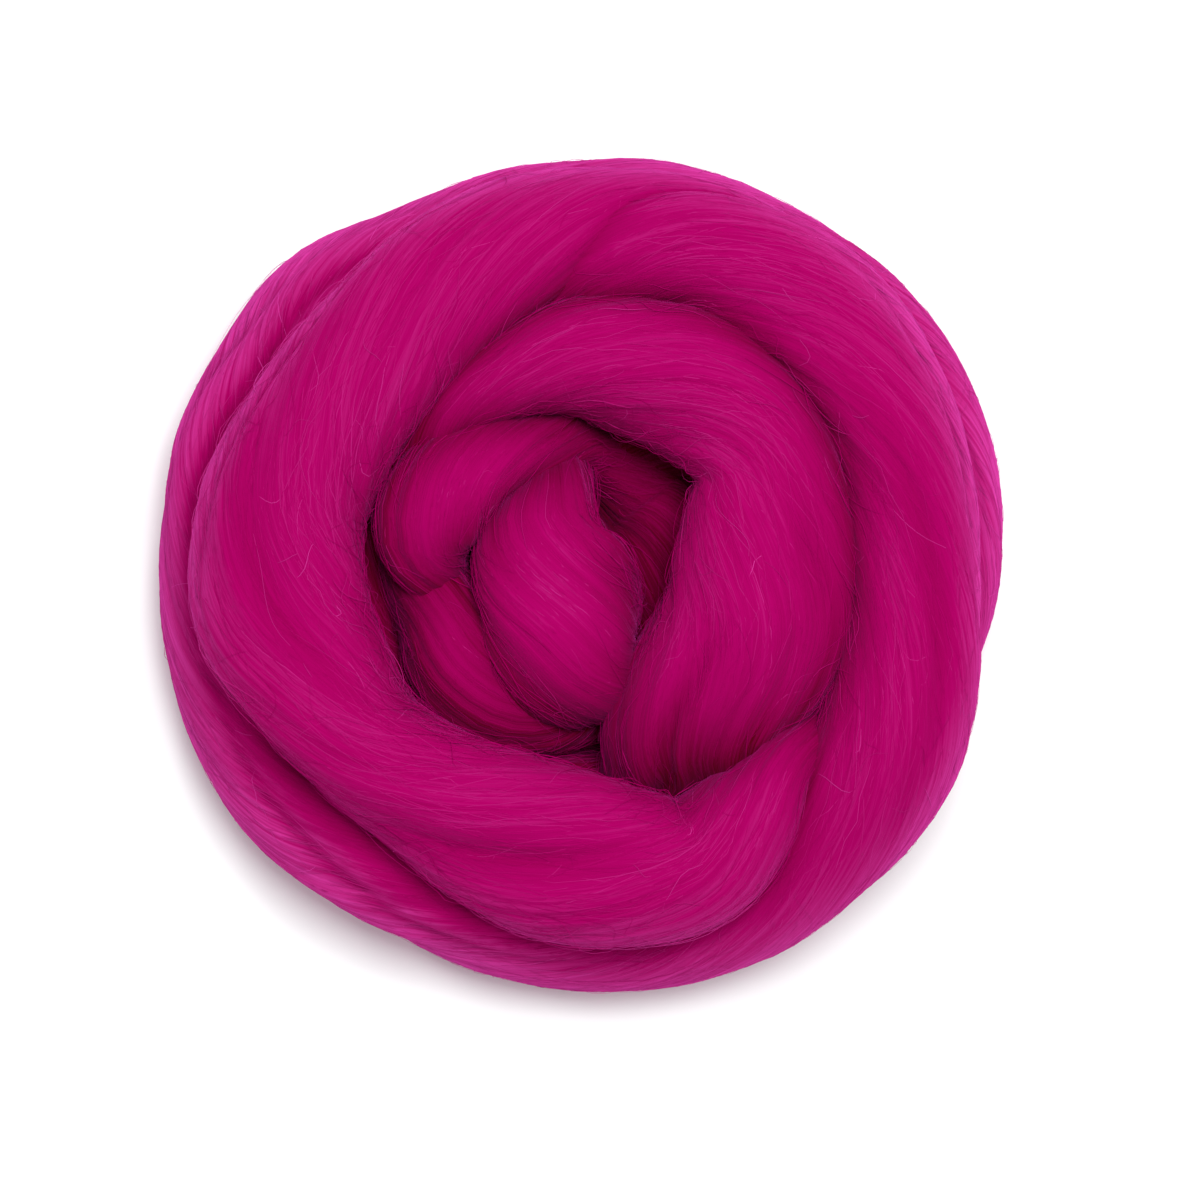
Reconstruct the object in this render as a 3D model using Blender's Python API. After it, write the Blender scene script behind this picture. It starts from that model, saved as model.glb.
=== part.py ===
# Wool roving wound into a nest: one long, loosely twisted strand of combed wool.
# It starts as a fold that stands up in the middle, winds clockwise and outwards in two layers,
# and ends tucked under its own upper turn. The turns cling together, so the nest is one solid.
# The origin is on the floor under the middle of the nest, with +Z up.

import math

import bmesh
import bpy
import numpy as np

MM = 0.001

# Driving dimensions of the nest and of its strand.
STRAND_WIDTH = 27 * MM
STRAND_THICKNESS = 24 * MM
LOWER_LAYER = 12 * MM
UPPER_LAYER = 35.5 * MM
SIDES = 28
STEPS_BETWEEN_ROWS = 5

# The strand's own relief: a few uneven locks lie along it and turn slowly round it.
# Columns: locks round the strand, depth as a share of its radius, starting angle in degrees.
LOCKS = ((2, 0.030, 20), (3, 0.045, 75), (5, 0.020, 140))
LOCK_TURNS_PER_M = 5.6

# A section's side direction is level, and leans this much on the one before it.
SIDE_CARRIED = 0.3

# How the turns are fused into one skin, and how the skin is thinned and pressed on the floor.
# The turns are swollen while they fuse and drawn in again, which closes the narrowest clefts.
FUSE_VOXEL = 1.25 * MM
FUSE_SWELL = 1.0 * MM
SMOOTHING = 0.5
SMOOTHING_PASSES = 9
THINNING = 0.115
FLOOR_PRESS = 0.6 * MM
FLOOR_BLOCK = 200 * MM
WELD = 0.001 * MM

# The middle of the finished nest, seen from the point that its turns are measured from.
NEST_MIDDLE = (-0.60 * MM, 0.07 * MM)

WOOL_MAGENTA = (0.56, 0.0, 0.16, 1.0)
WOOL_ROUGHNESS = 0.9

# One row for each section of the strand's centre line:
# angle (degrees, anticlockwise from +X), radius (mm from the middle),
# lift (0 is the lower layer and 1 the upper one), width and thickness (shares of the strand's).
# The free end lies under the heart of the nest and the strand folds back over it.
HEART_FOLD = (
    (84, 12.0, -0.02, 0.66, 0.70),
    (110, 5.0, -0.02, 0.90, 0.96),
    (-104, 6.0, -0.02, 0.94, 0.98),
    (-92, 11.5, 0.04, 0.80, 0.92),
    (-90, 15.6, 0.34, 0.66, 0.76),
    (-92, 14.4, 0.66, 0.76, 0.80),
    (-100, 10.2, 0.83, 0.92, 0.84),
    (-134, 5.2, 0.89, 0.96, 0.86),
    (160, 5.8, 0.88, 0.86, 0.82),
    (127, 9.8, 0.74, 0.72, 0.74),
    (112, 13.4, 0.40, 0.50, 0.60),
    (124, 15.0, 0.08, 0.46, 0.58),
    (146, 17.5, 0.04, 0.46, 0.60),
)
KNUCKLE = (
    (167, 22.0, 0.28, 0.54, 0.62),
    (162, 24.8, 0.70, 0.62, 0.70),
    (151, 26.6, 0.88, 0.64, 0.76),
    (136, 26.8, 0.90, 0.60, 0.76),
    (119, 25.2, 0.84, 0.54, 0.72),
    (101, 23.4, 0.68, 0.48, 0.66),
    (78, 19.4, 0.60, 0.66, 0.88),
)
CORE_TURN = (
    (46, 17.6, 0.54, 0.82, 0.94),
    (10, 19.6, 0.22, 0.80, 1.00),
    (-26, 20.5, 0.02, 0.80, 0.98),
    (-60, 22.5, 0.06, 0.74, 0.98),
    (-90, 25.0, 0.24, 0.66, 1.00),
    (-116, 25.0, 0.44, 0.62, 1.04),
    (-140, 24.0, 0.54, 0.68, 1.04),
    (-162, 24.6, 0.54, 0.62, 0.98),
    (174, 28.0, 0.46, 0.54, 0.84),
    (150, 31.0, 0.52, 0.50, 0.78),
)
INNER_TURN = (
    (128, 32.8, 0.74, 0.50, 0.80),
    (108, 33.2, 0.88, 0.58, 0.88),
    (88, 34.0, 0.97, 0.74, 0.94),
    (64, 35.0, 1.00, 0.87, 0.96),
    (42, 35.2, 1.00, 0.94, 0.98),
    (22, 31.6, 1.00, 1.12, 1.00),
    (4, 30.4, 1.00, 1.16, 1.00),
    (-12, 32.4, 0.99, 1.04, 1.00),
    (-26, 35.0, 0.95, 0.84, 0.98),
    (-38, 37.0, 0.86, 0.72, 0.92),
    (-50, 39.4, 0.62, 0.66, 0.88),
    (-64, 39.6, 0.28, 0.64, 0.88),
)
HIDDEN_TURN = (
    (-82, 38.0, 0.04, 0.66, 0.92),
    (-108, 36.5, 0.00, 0.70, 0.98),
    (-136, 36.5, 0.00, 0.70, 1.00),
    (-166, 36.5, 0.00, 0.70, 1.00),
    (164, 36.5, 0.00, 0.70, 1.00),
    (138, 37.5, 0.04, 0.70, 0.96),
    (118, 40.5, 0.26, 0.70, 0.90),
)
RIGHT_TURN = (
    (102, 45.5, 0.58, 0.70, 0.88),
    (86, 49.5, 0.84, 0.70, 0.94),
    (68, 52.6, 0.97, 0.72, 0.98),
    (46, 53.4, 1.00, 0.70, 1.00),
    (22, 52.8, 1.00, 0.75, 1.00),
    (-2, 52.2, 0.99, 0.79, 1.00),
    (-22, 53.0, 0.92, 0.80, 1.02),
    (-38, 54.2, 0.74, 0.90, 1.04),
    (-54, 54.3, 0.46, 0.98, 1.06),
    (-68, 53.9, 0.22, 1.00, 1.07),
)
RIM_TURN = (
    (-82, 53.4, 0.05, 1.00, 1.07),
    (-102, 52.4, 0.00, 0.98, 1.07),
    (-124, 52.0, 0.00, 0.97, 1.07),
    (-148, 53.0, 0.00, 0.98, 1.07),
    (-172, 53.8, 0.00, 1.00, 1.07),
    (164, 54.7, 0.00, 1.00, 1.07),
    (142, 54.7, 0.00, 0.99, 1.07),
    (120, 52.2, 0.00, 0.96, 1.07),
    (98, 53.0, 0.00, 0.95, 1.06),
    (76, 54.2, 0.00, 0.97, 1.06),
    (52, 55.8, 0.00, 0.99, 1.06),
    (28, 55.1, 0.00, 0.99, 1.06),
    (6, 54.3, 0.02, 0.96, 1.04),
    (-12, 51.4, 0.16, 0.78, 0.88),
)
COVER_TURN = (
    (-29, 45.2, 0.54, 0.40, 0.56),
    (-42, 43.8, 0.84, 0.44, 0.72),
    (-54, 45.8, 0.96, 0.62, 0.86),
    (-67, 48.4, 1.00, 0.74, 0.94),
    (-80, 46.4, 1.01, 0.88, 0.98),
    (-94, 43.2, 1.02, 1.00, 1.00),
    (-110, 40.8, 1.02, 0.94, 1.00),
    (-126, 40.6, 1.02, 0.80, 1.00),
    (-142, 42.5, 1.02, 0.79, 1.00),
    (-158, 44.0, 1.02, 0.94, 1.00),
    (-174, 46.0, 1.02, 1.02, 1.00),
    (168, 46.6, 1.02, 0.92, 1.00),
    (150, 45.4, 1.02, 0.84, 1.00),
    (132, 45.6, 1.02, 0.90, 1.00),
    (114, 48.4, 1.01, 0.90, 1.00),
    (96, 51.0, 0.99, 0.80, 0.96),
    (80, 53.6, 0.90, 0.64, 0.86),
    (66, 55.0, 0.70, 0.48, 0.70),
    (52, 55.4, 0.46, 0.34, 0.50),
)
STRAND = (
    HEART_FOLD + KNUCKLE + CORE_TURN + INNER_TURN + HIDDEN_TURN
    + RIGHT_TURN + RIM_TURN + COVER_TURN
)

# A lock that parts from the inner turn and dives between the cover turn and the heart fold.
PARTED_LOCK = (
    (34, 27.0, 0.90, 0.36, 0.62),
    (10, 19.4, 0.92, 0.46, 0.72),
    (-16, 19.0, 0.90, 0.54, 0.78),
    (-38, 20.0, 0.89, 0.62, 0.80),
    (-54, 23.6, 0.85, 0.64, 0.80),
    (-63, 29.6, 0.74, 0.60, 0.76),
    (-67, 36.0, 0.48, 0.52, 0.66),
    (-69, 41.0, 0.14, 0.40, 0.54),
)

# Wool that lies on the floor under the inner turn, where the strand's own turns leave room.
LOW_WOOL = (
    (128, 32.0, 0.00, 0.62, 0.90),
    (106, 27.0, 0.00, 0.92, 1.00),
    (84, 26.0, 0.00, 1.10, 1.00),
    (62, 28.0, 0.00, 1.04, 1.00),
    (40, 31.0, 0.00, 0.86, 1.00),
    (18, 33.5, 0.00, 0.70, 1.00),
    (-4, 34.5, 0.00, 0.66, 1.00),
    (-26, 35.5, 0.00, 0.66, 1.00),
    (-48, 37.5, 0.02, 0.64, 0.96),
    (-70, 38.5, 0.04, 0.58, 0.90),
)

# Wool pressed into the channel between the two layers, out of sight inside the nest.
PRESSED_WOOL = (
    (116, 38.0, 0.46, 0.56, 0.44),
    (84, 40.0, 0.48, 0.76, 0.56),
    (52, 41.0, 0.48, 0.90, 0.62),
    (22, 40.0, 0.48, 1.00, 0.62),
    (-8, 40.0, 0.48, 1.00, 0.62),
    (-38, 42.0, 0.46, 0.90, 0.62),
    (-66, 43.5, 0.46, 0.72, 0.60),
    (-94, 43.0, 0.46, 0.64, 0.56),
    (-124, 42.0, 0.46, 0.60, 0.56),
    (-154, 43.0, 0.46, 0.60, 0.56),
    (176, 44.0, 0.46, 0.62, 0.56),
    (146, 44.0, 0.46, 0.62, 0.56),
    (116, 44.0, 0.46, 0.62, 0.50),
)


def clear_scene():
    for item in list(bpy.data.objects):
        bpy.data.objects.remove(item)


def section_of(row):
    """A table row in metres: x, y, z, half the width and half the thickness."""
    angle, radius, lift, width, thickness = row
    turn = math.radians(angle)
    return np.array((
        radius * MM * math.cos(turn),
        radius * MM * math.sin(turn),
        LOWER_LAYER + lift * (UPPER_LAYER - LOWER_LAYER),
        width * STRAND_WIDTH / 2,
        thickness * STRAND_THICKNESS / 2,
    ))


def eased(before, start, end, after, share):
    """Catmull-Rom from start to end."""
    square, cube = share ** 2, share ** 3
    return 0.5 * (
        2 * start
        + (end - before) * share
        + (2 * before - 5 * start + 4 * end - after) * square
        + (3 * start - before - 3 * end + after) * cube
    )


def sections_along(table):
    """Smooth sections through the table's rows, a few between each pair."""
    rows = [section_of(row) for row in table]
    rows = [2 * rows[0] - rows[1], *rows, 2 * rows[-1] - rows[-2]]
    sections = []
    for i in range(1, len(rows) - 2):
        for step in range(STEPS_BETWEEN_ROWS):
            sections.append(eased(*rows[i - 1:i + 3], step / STEPS_BETWEEN_ROWS))
    sections.append(rows[-2])
    return np.array(sections)


def unit(vectors):
    return vectors / np.linalg.norm(vectors, axis=-1, keepdims=True)


def sides_along(ahead):
    """Level directions across the strand, carried over the places where it stands upright."""
    side = np.cross((0, 0, 1), ahead[0])
    sides = []
    for direction in ahead:
        level = np.cross((0, 0, 1), direction)
        if level @ side < 0:
            level = -level
        carried = side - (side @ direction) * direction
        side = unit(level + SIDE_CARRIED * carried)
        sides.append(side)
    return np.array(sides)


def strand_surface(table, swollen=0.0):
    """Points round every section, as an array of sections by sides by three."""
    sections = sections_along(table)
    centres = sections[:, :3]
    ahead = unit(np.gradient(centres, axis=0))
    sideways = sides_along(ahead)
    upwards = np.cross(ahead, sideways)
    steps = np.linalg.norm(np.diff(centres, axis=0), axis=1)
    length = np.concatenate(([0], np.cumsum(steps)))[:, None]
    around = np.linspace(0, math.tau, SIDES + 1)[None, :]
    swell = 1.0
    for count, depth, start in LOCKS:
        turned = around + math.tau * LOCK_TURNS_PER_M * length + math.radians(start)
        swell = swell + depth * np.cos(count * turned)
    across = (sections[:, 3:4] * swell + swollen) * np.cos(around)
    up = (sections[:, 4:5] * swell + swollen) * np.sin(around)
    points = (
        centres[:, None, :]
        + across[:, :, None] * sideways[:, None, :]
        + up[:, :, None] * upwards[:, None, :]
    )
    points[:, :, 2] = np.maximum(points[:, :, 2], -swollen)
    return points


def add_strand(skin, table):
    """A grid wrapped round the sections into a closed tube."""
    points = strand_surface(table, FUSE_SWELL)
    rings, sides = points.shape[:2]
    tube = bmesh.new()
    bmesh.ops.create_grid(tube, x_segments=rings - 1, y_segments=sides - 1, size=1)
    for i, vertex in enumerate(tube.verts):
        vertex.co = points[i % rings, i // rings]
    bmesh.ops.remove_doubles(tube, verts=tube.verts, dist=WELD)
    bmesh.ops.holes_fill(tube, edges=[edge for edge in tube.edges if edge.is_boundary])
    bmesh.ops.recalc_face_normals(tube, faces=tube.faces)
    wrapped = bpy.data.meshes.new("wrapped")
    tube.to_mesh(wrapped)
    tube.free()
    skin.from_mesh(wrapped)
    bpy.data.meshes.remove(wrapped)


def outer_shell(skin):
    """The vertices of the shell that holds the highest point."""
    top = max(skin.verts, key=lambda vertex: vertex.co.z)
    shell, front = {top}, [top]
    while front:
        for edge in front.pop().link_edges:
            for vertex in edge.verts:
                if vertex not in shell:
                    shell.add(vertex)
                    front.append(vertex)
    return shell


def fuse_turns(skin):
    """Joins the swollen turns into one skin and leaves out the air trapped between them."""
    mesh = bpy.data.meshes.new("swollen_turns")
    skin.to_mesh(mesh)
    turns = bpy.data.objects.new("swollen_turns", mesh)
    bpy.context.scene.collection.objects.link(turns)
    fuse = turns.modifiers.new("fuse", "REMESH")
    fuse.mode = "VOXEL"
    fuse.voxel_size = FUSE_VOXEL
    ready = turns.evaluated_get(bpy.context.evaluated_depsgraph_get())
    fused = bpy.data.meshes.new_from_object(ready)
    bpy.data.objects.remove(turns)
    skin.clear()
    skin.from_mesh(fused)
    shell = outer_shell(skin)
    trapped = [vertex for vertex in skin.verts if vertex not in shell]
    bmesh.ops.delete(skin, geom=trapped, context="VERTS")


def wool_material():
    wool = bpy.data.materials.new("combed_wool")
    wool.use_nodes = True
    shader = wool.node_tree.nodes["Principled BSDF"]
    shader.inputs["Base Color"].default_value = WOOL_MAGENTA
    shader.inputs["Roughness"].default_value = WOOL_ROUGHNESS
    shader.inputs["Metallic"].default_value = 0.0
    wool.diffuse_color = WOOL_MAGENTA
    return wool


def floor_block():
    """The space below the floor, which presses the lowest turns flat."""
    block = bmesh.new()
    bmesh.ops.create_cube(block, size=FLOOR_BLOCK)
    bmesh.ops.translate(block, verts=block.verts, vec=(0, 0, -FLOOR_BLOCK / 2))
    mesh = bpy.data.meshes.new("floor_block")
    block.to_mesh(mesh)
    block.free()
    cutter = bpy.data.objects.new("floor_block", mesh)
    bpy.context.scene.collection.objects.link(cutter)
    cutter.hide_render = True
    cutter.display_type = "WIRE"
    return cutter


def wound_roving():
    skin = bmesh.new()
    add_strand(skin, STRAND)
    add_strand(skin, PARTED_LOCK)
    add_strand(skin, LOW_WOOL)
    add_strand(skin, PRESSED_WOOL)
    fuse_turns(skin)
    to_origin = (-NEST_MIDDLE[0], -NEST_MIDDLE[1], -FLOOR_PRESS)
    bmesh.ops.translate(skin, verts=skin.verts, vec=to_origin)
    mesh = bpy.data.meshes.new("wound_roving")
    skin.to_mesh(mesh)
    skin.free()
    mesh.shade_smooth()
    mesh.materials.append(wool_material())
    roving = bpy.data.objects.new("wound_roving", mesh)
    bpy.context.scene.collection.objects.link(roving)

    settle = roving.modifiers.new("settle", "SMOOTH")
    settle.factor = SMOOTHING
    settle.iterations = SMOOTHING_PASSES
    draw_in = roving.modifiers.new("draw_in", "DISPLACE")
    draw_in.direction = "NORMAL"
    draw_in.mid_level = 0.0
    draw_in.strength = -FUSE_SWELL
    soften = roving.modifiers.new("soften", "SMOOTH")
    soften.factor = SMOOTHING
    soften.iterations = SMOOTHING_PASSES
    thin = roving.modifiers.new("thin", "DECIMATE")
    thin.ratio = THINNING
    press = roving.modifiers.new("press_flat", "BOOLEAN")
    press.operation = "DIFFERENCE"
    press.solver = "EXACT"
    press.object = floor_block()
    return roving


clear_scene()
wound_roving()
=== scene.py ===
import math

import bmesh
import bpy
import numpy as np
from mathutils.bvhtree import BVHTree
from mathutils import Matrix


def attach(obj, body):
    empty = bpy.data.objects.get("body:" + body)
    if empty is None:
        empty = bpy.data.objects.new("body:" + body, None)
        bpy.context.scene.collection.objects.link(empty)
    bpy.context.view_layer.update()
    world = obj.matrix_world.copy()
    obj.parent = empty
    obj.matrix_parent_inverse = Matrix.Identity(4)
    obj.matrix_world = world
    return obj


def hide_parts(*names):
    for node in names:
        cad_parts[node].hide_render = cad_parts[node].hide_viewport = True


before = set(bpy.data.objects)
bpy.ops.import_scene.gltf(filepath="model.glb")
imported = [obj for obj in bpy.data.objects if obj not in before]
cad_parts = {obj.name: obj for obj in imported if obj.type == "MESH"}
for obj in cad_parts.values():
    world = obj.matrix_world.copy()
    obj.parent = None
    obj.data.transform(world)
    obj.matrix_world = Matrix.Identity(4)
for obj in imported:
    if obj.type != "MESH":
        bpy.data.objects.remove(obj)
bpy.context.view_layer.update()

# A nest of combed wool: one long strand wound in two layers, and the fibres that lie on it.
# Where the turns are measured from, how thick the strand is, how high its layers lie (mm).
nest = {
    "middle": (0.60, -0.07),
    "strandWidth": 27.0,
    "strandThickness": 24.0,
    "lowerLayer": 11.4,
    "upperLayer": 34.9,
    "fibreLead": 12.5,  # radius that turns an angle round the strand into a distance
    "usualTwist": 5.6,  # turns of the fibres per metre of strand
}

# The strand turn by turn, from the end under the heart to the end tucked in at the top.
# Rows: angle, radius (mm), lift (0 lower layer, 1 upper), width and thickness (shares).
# Twist is in turns of the fibres per metre of strand.
strandTurns = [
    {"name": "heartFold", "twist": 13.0, "rows": [
        (84, 12.0, -0.02, 0.66, 0.7), (110, 5.0, -0.02, 0.9, 0.96), (-104, 6.0, -0.02, 0.94, 0.98),
        (-92, 11.5, 0.04, 0.8, 0.92), (-90, 15.6, 0.34, 0.66, 0.76), (-93, 15.0, 0.66, 0.76, 0.8),
        (-100, 12.2, 0.82, 0.88, 0.84), (-113, 7.6, 0.89, 0.96, 0.88), (167, 4.6, 0.9, 0.86, 0.85),
        (131, 7.9, 0.86, 0.71, 0.77), (109, 11.4, 0.76, 0.47, 0.61), (99, 15.2, 0.52, 0.33, 0.46),
        (96, 18.2, 0.22, 0.34, 0.46), (102, 20.6, 0.06, 0.38, 0.5), (116, 21.6, 0.04, 0.42, 0.54),
        (136, 21.6, 0.04, 0.44, 0.56)]},
    {"name": "knuckle", "twist": 12.0, "rows": [
        (166, 20.0, 0.06, 0.4, 0.52), (-178, 21.6, 0.3, 0.36, 0.5), (175, 23.2, 0.64, 0.44, 0.6),
        (163, 24.9, 0.86, 0.58, 0.74), (146, 24.0, 0.9, 0.6, 0.76), (130, 22.8, 0.85, 0.54, 0.72),
        (110, 21.4, 0.66, 0.46, 0.64), (86, 20.6, 0.28, 0.46, 0.62)]},
    {"name": "coreTurn", "twist": 7.0, "rows": [
        (52, 17.4, 0.02, 0.7, 0.84), (12, 16.8, 0.08, 0.74, 0.94), (-26, 19.0, 0, 0.76, 0.94),
        (-60, 20.5, 0, 0.68, 0.9), (-88, 21.0, 0, 0.52, 0.84), (-106, 22.8, 0.16, 0.54, 0.92),
        (-126, 23.6, 0.44, 0.6, 1), (-144, 22.8, 0.52, 0.62, 1.04), (-162, 22.0, 0.5, 0.54, 0.96),
        (174, 25.0, 0.4, 0.5, 0.84), (150, 30.4, 0.46, 0.5, 0.78)]},
    {"name": "innerTurn", "twist": nest["usualTwist"], "rows": [
        (128, 32.8, 0.74, 0.5, 0.8), (108, 33.2, 0.88, 0.58, 0.88), (88, 34.0, 0.97, 0.74, 0.94),
        (64, 34.6, 1, 0.84, 0.96), (46, 35.0, 1, 0.84, 0.98), (31, 34.0, 1, 0.84, 0.99),
        (16, 31.0, 1, 1.02, 1), (2, 29.2, 1, 1.12, 1), (-12, 28.5, 1, 1.14, 1),
        (-25, 27.9, 0.99, 1.11, 0.99), (-37, 27.6, 0.96, 1.05, 0.98), (-47, 28.1, 0.9, 1, 0.95),
        (-55, 29.8, 0.8, 0.95, 0.91), (-62, 33.4, 0.56, 0.86, 0.88), (-70, 37.6, 0.2, 0.74, 0.88)]},
    {"name": "hiddenTurn", "twist": nest["usualTwist"], "rows": [
        (-82, 38.0, 0.04, 0.66, 0.92), (-108, 36.5, 0, 0.7, 0.98), (-136, 36.5, 0, 0.7, 1),
        (-166, 36.5, 0, 0.7, 1), (164, 36.5, 0, 0.7, 1), (138, 37.5, 0.04, 0.7, 0.96),
        (118, 40.5, 0.26, 0.7, 0.9)]},
    {"name": "rightTurn", "twist": nest["usualTwist"], "rows": [
        (102, 45.5, 0.58, 0.7, 0.88), (86, 49.5, 0.86, 0.74, 0.94), (68, 53.0, 0.98, 0.76, 0.98),
        (46, 54.2, 1, 0.78, 1), (22, 53.2, 1, 0.78, 1), (-2, 52.2, 0.99, 0.79, 1),
        (-22, 53.6, 0.92, 0.86, 1.02), (-38, 54.4, 0.74, 0.92, 1.04), (-54, 54.3, 0.46, 0.98, 1.06),
        (-68, 53.9, 0.22, 1, 1.07)]},
    {"name": "rimTurn", "twist": nest["usualTwist"], "rows": [
        (-82, 53.4, 0.07, 1, 1.12), (-102, 52.4, 0.11, 0.98, 1.22), (-124, 52.0, 0.15, 0.97, 1.28),
        (-148, 53.0, 0.14, 0.98, 1.27), (-172, 53.8, 0.09, 1, 1.19), (164, 54.7, 0.05, 1, 1.13),
        (145, 54.0, 0, 0.99, 1.07), (131, 54.7, 0, 0.99, 1.07), (114, 52.2, 0, 0.96, 1.07),
        (98, 52.8, 0, 0.95, 1.06), (76, 54.2, 0, 0.97, 1.06), (52, 55.8, 0, 0.99, 1.06),
        (28, 55.3, 0, 0.99, 1.06), (6, 54.9, 0.02, 0.97, 1.04), (-14, 53.0, 0.08, 0.88, 0.96)]},
    {"name": "coverTurn", "twist": nest["usualTwist"], "rows": [
        (-29, 47.4, 0.42, 0.52, 0.66), (-42, 43.8, 0.84, 0.44, 0.72), (-54, 45.8, 0.96, 0.62, 0.86),
        (-67, 48.4, 1, 0.74, 0.94), (-80, 46.4, 1.01, 0.88, 0.98), (-94, 43.2, 1.02, 1, 1),
        (-110, 40.8, 1.02, 0.94, 1), (-126, 40.6, 1.02, 0.8, 1), (-142, 42.6, 1.02, 0.76, 1),
        (-158, 43.8, 1.02, 0.86, 1), (-174, 45.8, 1.02, 0.97, 1), (168, 46.6, 1.02, 0.93, 1),
        (150, 45.8, 1.02, 0.9, 1), (132, 46.2, 1.02, 0.9, 1), (114, 48.6, 1.01, 0.88, 1),
        (96, 52.0, 0.98, 0.76, 0.94), (80, 56.2, 0.88, 0.56, 0.82), (66, 58.8, 0.76, 0.44, 0.66),
        (52, 59.8, 0.58, 0.34, 0.5), (42, 59.6, 0.42, 0.28, 0.42)]},
]

# Valleys between locks, each with painted shade along it. Rows and angles give where each starts
# and stops;
# an angle is 0 on the strand's outer side and 90 on its top. Depth and width are in mm, and pale is
# how much paler a painted highlight makes the ridges beside it, or how much deeper their painted
# shade is below 0.
strandFurrows = [
    {"turn": "rimTurn", "rows": (4.0, 8.8), "angles": (58, 60),
     "depth": 2.2, "width": 2.2, "pale": 0.16},
    {"turn": "rimTurn", "rows": (4.4, 8.4), "angles": (24, 26),
     "depth": 1.2, "width": 1.6, "pale": 0.10},
    {"turn": "rimTurn", "rows": (0.2, 3.8), "angles": (40, 58),
     "depth": 1.6, "width": 2.2, "pale": 0.14},
    {"turn": "rimTurn", "rows": (9.0, 13.6), "angles": (50, 30),
     "depth": 1.4, "width": 1.8, "pale": 0.14},
    {"turn": "coverTurn", "rows": (3.6, 7.4), "angles": (112, 34),
     "depth": 2.2, "width": 3.2, "pale": 0.0},
    {"turn": "coverTurn", "rows": (8.0, 12.0), "angles": (128, 40),
     "depth": 0.9, "width": 3.0, "pale": 0.0},
    {"turn": "coverTurn", "rows": (9.0, 15.5), "angles": (22, 18),
     "depth": 1.2, "width": 2.0, "pale": 0.10},
    {"turn": "innerTurn", "rows": (8.4, 15.0), "angles": (112, 88),
     "depth": 3.0, "width": 2.4, "pale": 0.02},
    {"turn": "innerTurn", "rows": (8.0, 15.0), "angles": (64, 58),
     "depth": 4.5, "width": 7.0, "pale": -0.06},
    {"turn": "innerTurn", "rows": (5.0, 9.0), "angles": (76, 50),
     "depth": 0.7, "width": 3.0, "pale": 0.0},
    {"turn": "rightTurn", "rows": (3.0, 7.4), "angles": (120, 40),
     "depth": 0.8, "width": 2.8, "pale": 0.0},
    {"turn": "rightTurn", "rows": (1.6, 7.0), "angles": (26, 18),
     "depth": 1.2, "width": 2.2, "pale": 0.12},
]

# Wool on the floor under the inner turn, and wool pressed between the layers.
lowTurns = [
    {"name": "lowWool", "twist": nest["usualTwist"], "rows": [
        (128, 32.0, 0, 0.62, 0.9), (106, 27.0, 0, 0.92, 1), (84, 26.0, 0, 1.1, 1),
        (62, 28.0, 0, 1.04, 1), (40, 31.0, 0, 0.86, 1), (18, 33.5, 0, 0.7, 1),
        (-4, 34.5, 0, 0.66, 1), (-26, 35.5, 0, 0.66, 1), (-48, 37.5, 0.02, 0.64, 0.96),
        (-70, 38.5, 0.04, 0.58, 0.9)]},
]
pressedTurns = [
    {"name": "pressedWool", "twist": nest["usualTwist"], "rows": [
        (116, 38.0, 0.46, 0.56, 0.44), (84, 40.0, 0.48, 0.76, 0.56), (52, 41.0, 0.48, 0.9, 0.62),
        (22, 40.0, 0.48, 1, 0.62), (-8, 40.0, 0.48, 1, 0.62), (-38, 42.0, 0.46, 0.9, 0.62),
        (-66, 43.5, 0.46, 0.72, 0.6), (-94, 43.0, 0.46, 0.64, 0.56), (-124, 42.0, 0.46, 0.6, 0.56),
        (-154, 43.0, 0.46, 0.6, 0.56), (176, 44.0, 0.46, 0.62, 0.56), (146, 44.0, 0.46, 0.62, 0.56),
        (116, 44.0, 0.46, 0.62, 0.5)]},
]

# Locks: how many lie round the strand, their depth as a share of its radius, starting angle.
# Ripples: fewest and most round the strand, metres between knots, height in mm.
# Ring spacing, end taper and weld are in metres.
strandLook = {
    "seed": 11,
    "ringSpacing": 0.0020,
    "sides": 148,
    "endTaper": 0.006,
    "weld": 1e-7,
    "locks": ((2, 0.030, 20), (3, 0.045, 75), (5, 0.020, 140)),
    "ripples": (((8, 15), 0.045, 0.20), ((18, 34), 0.030, 0.10)),
    "rippleDrift": 1.1,  # radians that a ripple's phase wanders from knot to knot
    "rippleLeast": 0.15,  # least share of its height that a ripple keeps
    "stepsBetweenRows": 40,
    "sideCarried": 0.3,  # how far the last side direction steers the next one
    "furrows": strandFurrows,
}
packedLook = dict(strandLook, ringSpacing=0.004, sides=64, furrows=())


def unit(vectors):
    return vectors / np.linalg.norm(vectors, axis=-1, keepdims=True)


def eased(before, start, end, after, share):
    # a smooth curve from start to end that leans on the rows before and after them
    square, cube = share ** 2, share ** 3
    return 0.5 * (2 * start + (end - before) * share
                  + (2 * before - 5 * start + 4 * end - after) * square
                  + (3 * start - before - 3 * end + after) * cube)


def sectionRows(turns):
    # the turns' rows as place, half width, half thickness (metres) and twist
    rows = []
    for turn in turns:
        for angle, radius, lift, width, thickness in turn["rows"]:
            bearing = math.radians(angle)
            rows.append((
                (radius * math.cos(bearing) + nest["middle"][0]) / 1000,
                (radius * math.sin(bearing) + nest["middle"][1]) / 1000,
                (nest["lowerLayer"] + lift * (nest["upperLayer"] - nest["lowerLayer"])) / 1000,
                width * nest["strandWidth"] / 2000,
                thickness * nest["strandThickness"] / 2000,
                turn["twist"],
            ))
    return np.array(rows)


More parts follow.
